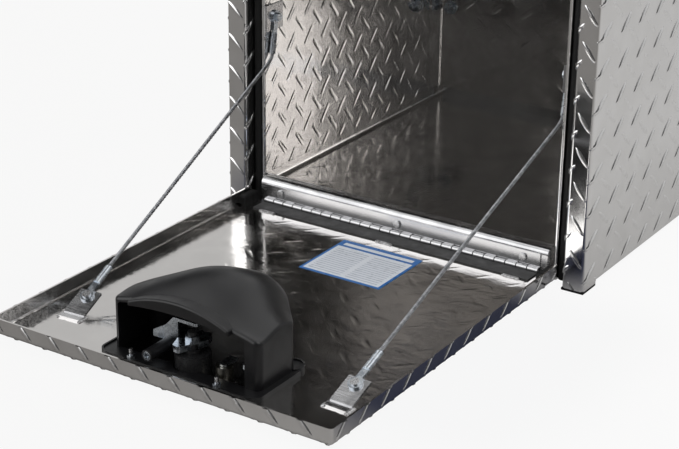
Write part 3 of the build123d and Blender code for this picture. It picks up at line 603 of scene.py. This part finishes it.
# The sill rail and the small sheet metal.
# A rounded channel of plain aluminium carries the hinge. The brackets and tabs
# that the stays are bolted to are cut from the same bare sheet and welded on.
bare_aluminium = Finish("bare aluminium", (0.74, 0.74, 0.75), roughness=0.2, metal=1.0)
brushing = bare_aluminium.noise(0.0012, 3.0, (0.05, 1, 1))
handling = bare_aluminium.noise(0.03, 3.0)
bare_aluminium.dull(brushing * 0.5 + handling * 0.5, 0.14, 0.32)
bare_aluminium.mottle(handling, (0.5, 0.5, 0.51), (0.7, 0.7, 0.71))
bare_aluminium.set("Normal", bare_aluminium.bump(brushing, 0.00001))
dress(
    bare_aluminium,
    "bottom_rail",
    "left_anchor_tab",
    "right_anchor_tab",
    "left_stay_bracket",
    "right_stay_bracket",
)

# The hinge leaves.
# Both are rolled from plain sheet round the pin. The lower half of the knuckles
# and the gaps between them are painted near black as shade, and duller there.
leaf_metal = Finish("hinge leaf", (0.6, 0.6, 0.61), roughness=0.28, metal=1.0)
pin_low, pin_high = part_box("hinge_pin")
pin_height = (pin_low.z + pin_high.z) / 2
knuckle_length, gap_share = 0.0127, 0.045
knuckle_top, knuckle_back = pin_height + 0.0034, pin_low.y - 0.002
leaf_x, leaf_y, leaf_z = leaf_metal.axes()
knuckle = (leaf_x - pin_low.x) / knuckle_length
joint = abs(knuckle - knuckle.maths("ROUND")) < gap_share
gap = joint * (leaf_z < knuckle_top) * (leaf_y > knuckle_back)
# Painted shade: the leaves are coloured near black below the pin and in the gaps between the knuckles, with a
# ragged edge.
ragged_shade_edge = leaf_metal.noise(0.01) * 0.001
unshaded = (leaf_z + ragged_shade_edge).ramp(pin_height - 0.001, pin_height + 0.0025) * (1 - gap)
leaf_metal.set("Base Color", leaf_metal.blend(unshaded, (0.03, 0.03, 0.03), (0.62, 0.62, 0.63)))
leaf_metal.set("Roughness", unshaded.ramp(0.0, 1.0, 0.6, 0.24))
leaf_metal.set("Metallic", unshaded.ramp(0.0, 0.5, 0.2, 1.0))
dress(leaf_metal, "hinge_box_leaf", "hinge_door_leaf")

# The door.
# A shallow tray of tread plate, with its lugs on the underside as it lies open
# and its rim turned up at the sides and the front. Its inner face is scuffed.
door_roll = {"pitch": (0.0357, 0.0362), "lean": math.radians(45)}
front_roll = {"pitch": (0.0352, 0.0362), "lean": -door_roll["lean"]}
door_phase, front_phase = (0.2023, -0.3805), (-0.012, 0.0138)
hinge_edge = 0.0048
door_low, door_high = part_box("door_pan")
rim_corners = [(door_low.x, door_high.z), (door_low.x, door_low.z)]
rim_corners += [(door_high.x, door_low.z), (door_high.x, door_high.z)]
rim_line = fold_line(rim_corners, [fold_radius, fold_radius, 0])
rim_run = door_high.z - door_low.z - fold_radius
door_wide = door_high.x - door_low.x - 2 * fold_radius
rim_span = rim_run + math.pi / 2 * fold_radius
half_blank = door_wide / 2 + rim_span


def door_place(across, up, rise):
    spot, out = rim_line(across + half_blank)
    spot = spot - out * rise
    return Vector((spot.x, up, spot.y))


front_line = fold_line([(0, door_low.z), (door_low.y, door_low.z), (door_low.y, door_high.z)], [fold_radius, 0])


def front_rim_place(across, up, rise):
    spot, out = front_line(-door_low.y - fold_radius + up)
    spot = spot + out * rise
    return Vector((across, spot.x, spot.y))


door_lugs = bmesh.new()
door_run = (door_low.y + fold_radius, door_high.y - hinge_edge)
blank_span = (sheet_edge - half_blank, half_blank - sheet_edge)
fold_lugs(door_lugs, door_roll, door_phase, blank_span, door_run, door_place)
rim_ends = (door_low.x + fold_radius, door_high.x - fold_radius)
fold_lugs(door_lugs, front_roll, front_phase, rim_ends, (0.0, rim_span - sheet_edge), front_rim_place)
finish_lugs("door_lugs", "door", door_lugs)
door_sheet = tread_sheet(
    "door sheet",
    lambda x, y, z, facing: (x, y, facing[2] > 0.5),
    door_roll,
    door_phase,
    dent=0.00009,
    tone=(0.86, 0.84, 0.82),
    swell=0.0009,
    streak=0.00024,
)
dress(door_sheet, "door_pan")

# The welds.
# Short stitches of aluminium wire, laid by hand in overlapping drops, hold the
# hinge's leaf and the feet of the two brackets to the door.
weld_metal = Finish("weld metal", (0.6, 0.6, 0.61), roughness=0.38, metal=1.0)
soot = weld_metal.noise(0.003, 3.0)
weld_metal.mottle(soot, (0.34, 0.33, 0.33), (0.74, 0.74, 0.75))
weld_metal.set("Normal", weld_metal.bump(soot, 0.0006))
dress(weld_metal, "hinge_welds")
drop_size, drop_flatness, drop_step, drop_lift = 0.0021, 0.62, 0.0023, 0.0002
weld_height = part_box("hinge_welds")[0].z + drop_lift
leaf_weld_y, leaf_weld_length = -0.2590, 0.017
stitches = [((x, leaf_weld_y), (x + leaf_weld_length, leaf_weld_y)) for x in (-0.160, -0.0085, 0.143)]
stitches += [((-0.1645, -0.5790), (-0.1637, -0.5905)), ((-0.1387, -0.5772), (-0.1379, -0.5889))]
stitches += [((0.1472, -0.5958), (0.1477, -0.5845)), ((0.1730, -0.5969), (0.1735, -0.5856))]


def weld_drop():
    ball = bmesh.new()
    flattened = Matrix.Diagonal((1, 1, drop_flatness, 1))
    bmesh.ops.create_icosphere(ball, subdivisions=2, radius=drop_size, matrix=flattened)
    mesh = bpy.data.meshes.new("drop")
    ball.to_mesh(mesh)
    ball.free()
    return bpy.data.objects.new("drop", mesh)


def welding():
    """Drops of uneven size on every spot."""
    kinds = {"Spots": "Geometry", "Drop": "Object", "Least": "Float", "Most": "Float", "Seed": "Int"}
    pattern = Pattern("weld drops", kinds | {"Bead": "Material"})
    given = pattern.given
    size = pattern.tree.nodes.new("FunctionNodeRandomValue")
    size.data_type = "FLOAT"
    usable = [socket for socket in size.inputs if socket.enabled]
    for name, socket in zip(("Least", "Most"), usable):
        pattern.feed(socket, given[name])
    pattern.feed(size.inputs["Seed"], given["Seed"])
    scale = next(socket for socket in size.outputs if socket.enabled)
    shape = pattern.step("GeometryNodeObjectInfo", Object=given["Drop"])["Geometry"]
    laid = pattern.step("GeometryNodeInstanceOnPoints", Points=given["Spots"], Instance=shape, Scale=scale)
    pattern.close(laid["Instances"], given["Bead"])
    return pattern


spots = []
for start, end in stitches:
    start, end = Vector((*start, weld_height)), Vector((*end, weld_height))
    count = round((end - start).length / drop_step)
    spots += [start.lerp(end, step / count) for step in range(count + 1)]
values = {"Drop": weld_drop(), "Least": 0.7, "Most": 1.15, "Seed": 3, "Bead": weld_metal.material}
beads = add_piece("weld_beads", welding().make(new_mesh(spots), values))
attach(beads, "door")

# The rubber.
# Extruded seals lie in the gutters, and moulded pads and plugs stand under the
# posts and in the door's corners.
seal_rubber = Finish("seal rubber", (0.007, 0.007, 0.007), roughness=0.6)
seal_rubber.set("Specular IOR Level", 0.3)
seal_rubber.dull(seal_rubber.noise(0.006, 3.0, (1, 1, 0.1)), 0.5, 0.7)
seal_rubber.set("Normal", seal_rubber.bump(seal_rubber.noise(0.0008), 0.00008))
dress(seal_rubber, "left_seal", "right_seal", "top_seal", "foot_pads", "left_corner_plug", "right_corner_plug")

# The zinc plated fasteners and latch parts.
# Bolts, washers, stay ends and the latch's cam are steel with a bright bluish
# zinc plate.
zinc_plate = Finish("bright zinc", (0.66, 0.7, 0.74), roughness=0.24, metal=1.0)
crystals = zinc_plate.noise(0.006, 3.0)
zinc_plate.mottle(crystals, (0.48, 0.52, 0.57), (0.62, 0.66, 0.7), 0.35, 0.65)
zinc_plate.dull(crystals, 0.22, 0.32)
dress(
    zinc_plate,
    "wall_bolts",
    "wall_washers",
    "wall_nuts",
    "anchor_bolts",
    "left_box_stay_end",
    "right_box_stay_end",
    "left_door_stay_end",
    "right_door_stay_end",
    "striker_plate",
    "striker_screws",
    "cover_nuts",
    "handle_screws",
    "cam_plate",
    "cam_nut",
    "roller_bolt",
    "lock_tongue",
)

# The stainless parts.
# The hinge pin and screws, the rivets and the weld studs are plain stainless.
stainless = Finish("stainless steel", (0.6, 0.6, 0.61), roughness=0.26, metal=1.0)
stainless.dull(stainless.noise(0.001, 2.0), 0.2, 0.36)
dress(stainless, "hinge_pin", "hinge_screws", "bracket_rivets", "cover_studs", "grip_pin")


# The stay cables.
# Two lengths of stranded steel wire rope, crimped into the fittings at both
# ends, hold the door level. Each turns sharply where it leaves its upper sleeve.
def centreline(route):
    """Points along the smooth spline that a route's points control."""
    line = bpy.data.curves.new("route", "CURVE")
    line.dimensions = "3D"
    spline = line.splines.new("NURBS")
    spline.points.add(len(route) - 1)
    for point, place in zip(spline.points, route):
        point.co = (*place, 1)
    spline.order_u = 3
    spline.use_endpoint_u = True
    spline.resolution_u = 24
    holder = bpy.data.objects.new("route", line)
    mesh = bpy.data.meshes.new_from_object(holder)
    points = [vertex.co.copy() for vertex in mesh.vertices]
    bpy.data.objects.remove(holder)
    bpy.data.meshes.remove(mesh)
    return points


def even_steps(points, step):
    """The same line in even steps, and its length."""
    lengths = [0.0]
    for a, b in zip(points, points[1:]):
        lengths.append(lengths[-1] + (b - a).length)
    count = max(2, round(lengths[-1] / step))
    even = []
    index = 0
    for number in range(count + 1):
        along = lengths[-1] * number / count
        while index < len(points) - 2 and lengths[index + 1] < along:
            index += 1
        span = lengths[index + 1] - lengths[index]
        even.append(points[index].lerp(points[index + 1], (along - lengths[index]) / span))
    return even, lengths[-1]


def strand_corners(line, offset, radius, pitch, start):
    """Corners of one strand that winds round a line, ring by ring."""
    corners = []
    side = Vector((1, 0, 0))
    travelled = 0.0
    for index, point in enumerate(line):
        following = line[min(index + 1, len(line) - 1)]
        behind = line[max(index - 1, 0)]
        along = (following - behind).normalized()
        side = (side - along * side.dot(along)).normalized()
        up = along.cross(side)
        if index:
            travelled += (point - line[index - 1]).length
        angle = start + 2 * math.pi * travelled / pitch
        out = side * math.cos(angle) + up * math.sin(angle)
        across = along.cross(out)
        middle = point + out * offset
        for corner in range(strand_sides):
            turn = 2 * math.pi * corner / strand_sides
            corners.append(middle + (out * math.cos(turn) + across * math.sin(turn)) * radius)
    return corners


def tube_faces(first, rings):
    """The faces of one strand, closed at both ends."""
    faces = []
    for ring in range(rings - 1):
        for corner in range(strand_sides):
            after = (corner + 1) % strand_sides
            low = first + ring * strand_sides
            high = low + strand_sides
            faces.append((low + corner, low + after, high + after, high + corner))
    faces.append(tuple(first + corner for corner in reversed(range(strand_sides))))
    last = first + (rings - 1) * strand_sides
    faces.append(tuple(last + corner for corner in range(strand_sides)))
    return faces


wire_steel = Finish("wire rope steel", (0.5, 0.51, 0.53), roughness=0.34, metal=1.0)
grime = wire_steel.noise(0.004, 2.0)
wire_steel.mottle(grime, (0.34, 0.35, 0.37), (0.62, 0.63, 0.65), 0.35)
wire_steel.dull(grime, 0.28, 0.45)

cable_size, strand_size, core_size = 0.004, 0.00128, 0.0018
strand_count, strand_sides, strand_lay, core_lay = 6, 6, 0.026, 0.1
snug, ring_step = 1.06, 0.0015
winding = [
    (cable_size / 2 - strand_size / 2, strand_size / 2 * snug, strand_lay, 2 * math.pi * strand / strand_count)
    for strand in range(strand_count)
]
winding.append((0.0, core_size / 2, core_lay, 0))
cable_routes = {
    "left": [
        (-0.1773, -0.2115, 0.1776),
        (-0.1773, -0.21254, 0.17169),
        (-0.17566, -0.23456, 0.16241),
        (-0.15568, -0.52142, 0.0415),
    ],
    "right": [
        (0.1773, -0.2115, 0.1776),
        (0.1773, -0.21254, 0.17169),
        (0.17616, -0.23462, 0.16253),
        (0.16314, -0.52746, 0.0412),
    ],
}
for hand, route in cable_routes.items():
    line, length = even_steps(centreline(route), ring_step)
    vertices, faces = [], []
    for strand in winding:
        faces += tube_faces(len(vertices), len(line))
        vertices += strand_corners(line, *strand)
    rope = add_piece(f"{hand}_wire_rope", new_mesh(vertices, faces), wire_steel)
    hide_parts(f"{hand}_stay_cable")
    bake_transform(rope)

# The latch cover.
# Injection moulded in black plastic with a fine grain, held by two nuts on
# studs that are welded to the door. The roller's sleeve is the same plastic.
black_moulding = Finish("black moulding", (0.007, 0.007, 0.008), roughness=0.45)
black_moulding.set("Specular IOR Level", 0.5)
black_moulding.dull(black_moulding.noise(0.02, 3.0), 0.3, 0.42)
black_moulding.set("Normal", black_moulding.bump(black_moulding.noise(0.0007, 2.0), 0.00006))
dress(black_moulding, "latch_cover", "roller_sleeve")

# The handle.
# Cast plate, spindle and folding tee grip, all powder coated black, with a
# nickelled lock beside them, its nickel painted dark as shade inside the cover.
powder_coat = Finish("black powder coat", (0.02, 0.02, 0.021), roughness=0.3)
peel = powder_coat.noise(0.0016, 2.0)
powder_coat.dull(peel, 0.22, 0.4)
powder_coat.set("Normal", powder_coat.bump(peel, 0.0001))
dress(powder_coat, "handle_plate", "spindle", "tee_grip")
# Painted shade: the lock's nickel is coloured darker than bright nickel.
nickel = Finish("nickelled brass", (0.4, 0.38, 0.34), roughness=0.3, metal=1.0)
nickel.mottle(nickel.noise(0.002, 2.0), (0.34, 0.32, 0.27), (0.48, 0.46, 0.42), 0.4)
dress(nickel, "lock_barrel", "lock_plug")

# The label.
# A plain film, stuck on, with a blue border and band and two columns of thin
# grey lines.
label_film = Finish("label film", (0.8, 0.84, 0.9), roughness=0.32)
low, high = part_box("label_plate")
width, height = high.x - low.x, high.y - low.y
label_x, label_y, _ = label_film.axes()
from_left = label_x - low.x
from_hinge = label_y * -1 + high.y
from_middle = abs(from_left - width / 2)
inset = from_left.least(width - from_left).least(from_hinge.least(height - from_hinge))
border_width, band_height = 0.0028, 0.016
border = (inset < border_width).most(from_hinge < band_height)
stripe_place, stripe_half, stripe_inset = 0.009, 0.003, 0.006
stripe = (abs(from_hinge - stripe_place) < stripe_half) * (inset > stripe_inset)
line_pitch, line_share, column_gap, line_inset, first_line = 0.0046, 0.17, 0.003, 0.007, 0.0195
row = from_hinge / line_pitch
on_line = abs(row - row.maths("ROUND")) < line_share
grey_lines = on_line * (from_middle > column_gap) * (inset > line_inset) * (from_hinge > first_line)
blue, paper, grey = (0.03, 0.17, 0.5), (0.84, 0.88, 0.94), (0.42, 0.47, 0.56)
lined = label_film.blend(grey_lines * 0.8, paper, grey)
bordered = label_film.blend(border, lined, blue)
label_film.set("Base Color", label_film.blend(stripe, bordered, paper))
label_film.dull(label_film.noise(0.01), 0.25, 0.4)
dress(label_film, "label_plate")

# The studio.
# A pale floor that runs out of sight, with a painted shadow close under the open
# door and painted darker towards the front left, a wide key from the front left,
# a fill from the right and a soft light from above.
pale_floor = Finish("pale floor", (0.6, 0.6, 0.6), roughness=0.8)
floor_x, floor_y, _ = pale_floor.axes()
# The floor is painted darker towards the front left.
away = (floor_x + floor_y).ramp(-0.9, 0.7)
open_floor = pale_floor.blend(away, (0.2, 0.19, 0.18), (0.66, 0.64, 0.62))
shade_right, shade_ahead, shade_half_width, shade_half_depth = 0.04, 0.42, 0.21, 0.1
aside = (abs(floor_x - shade_right) - shade_half_width).most(0.0)
in_front = (abs(floor_y + shade_ahead) - shade_half_depth).most(0.0)
near_door = (aside * aside + in_front * in_front).maths("SQRT").ramp(0.02, 0.14)
# Painted shadow: the floor is coloured dark navy close under the door.
pale_floor.set("Base Color", pale_floor.blend(near_door, (0.012, 0.016, 0.045), open_floor))
plain, mirrored = pale_floor.ray("Camera"), pale_floor.ray("Glossy")
glow = pale_floor.tree.nodes.new("ShaderNodeEmission")
pale_floor.feed(glow.inputs["Color"], pale_floor.blend(mirrored, (1, 1, 1), (0.5, 0.5, 0.5)))
both = pale_floor.tree.nodes.new("ShaderNodeMixShader")
seen_share, mirrored_share = 0.92, 0.6
pale_floor.feed(both.inputs[0], plain * seen_share + mirrored * near_door * away * mirrored_share)
surface = pale_floor.tree.nodes["Material Output"].inputs["Surface"]
for lit, onto in ((pale_floor.shader, both.inputs[1]), (glow, both.inputs[2]), (both, surface)):
    pale_floor.tree.links.new(lit.outputs[0], onto)
reach = 9
corners = [(-reach, -reach, 0), (reach, -reach, 0), (reach, reach, 0), (-reach, reach, 0)]
ground = add_piece("ground", new_mesh(corners, [(0, 1, 2, 3)]), pale_floor, smooth=False)

world = bpy.data.worlds.new("studio")
bpy.context.scene.world = world
world.use_nodes = True
room = Shading(world.node_tree)
backdrop = world.node_tree.nodes["Background"]
camera_ray, glossy_ray = room.ray("Camera"), room.ray("Glossy")
to_x, to_y, _ = room.axes("Generated")
front_left = to_x.ramp(-0.3, 0.12, 1.0, 0.0) * to_y.ramp(-0.3, 0.2, 1.0, 0.0)
dim_wall, bright_wall, back_wall, room_light = 0.06, 0.82, 0.48, 0.42
walls = dim_wall + front_left * bright_wall + to_y.ramp(0.2, 0.6, 0.0, back_wall)
reflected = walls * glossy_ray + (1 - glossy_ray) * room_light
backdrop.inputs["Color"].default_value = (1, 1, 1, 1)
room.feed(backdrop.inputs["Strength"], reflected.most(camera_ray))


def soft_light(name, place, size, power):
    """A rectangular lamp, aimed at the middle of the box and its door."""
    lamp = bpy.data.lights.new(name, "AREA")
    lamp.shape = "RECTANGLE"
    lamp.size, lamp.size_y = size
    lamp.energy = power
    holder = bpy.data.objects.new(name, lamp)
    towards = Vector((0, -0.1, 0.2)) - Vector(place)
    holder.rotation_euler = towards.to_track_quat("-Z", "Y").to_euler()
    holder.location = place
    bpy.context.scene.collection.objects.link(holder)


soft_light("key", (-1.62, -2.52, 1.5), (3.4, 2.4), power=24)
soft_light("fill", (2.0, -0.9, 2.9), (2.2, 2.2), power=26)
soft_light("top", (0.0, 0.4, 3.0), (3.0, 3.0), power=28)
bpy.context.scene.view_settings.view_transform = "Standard"
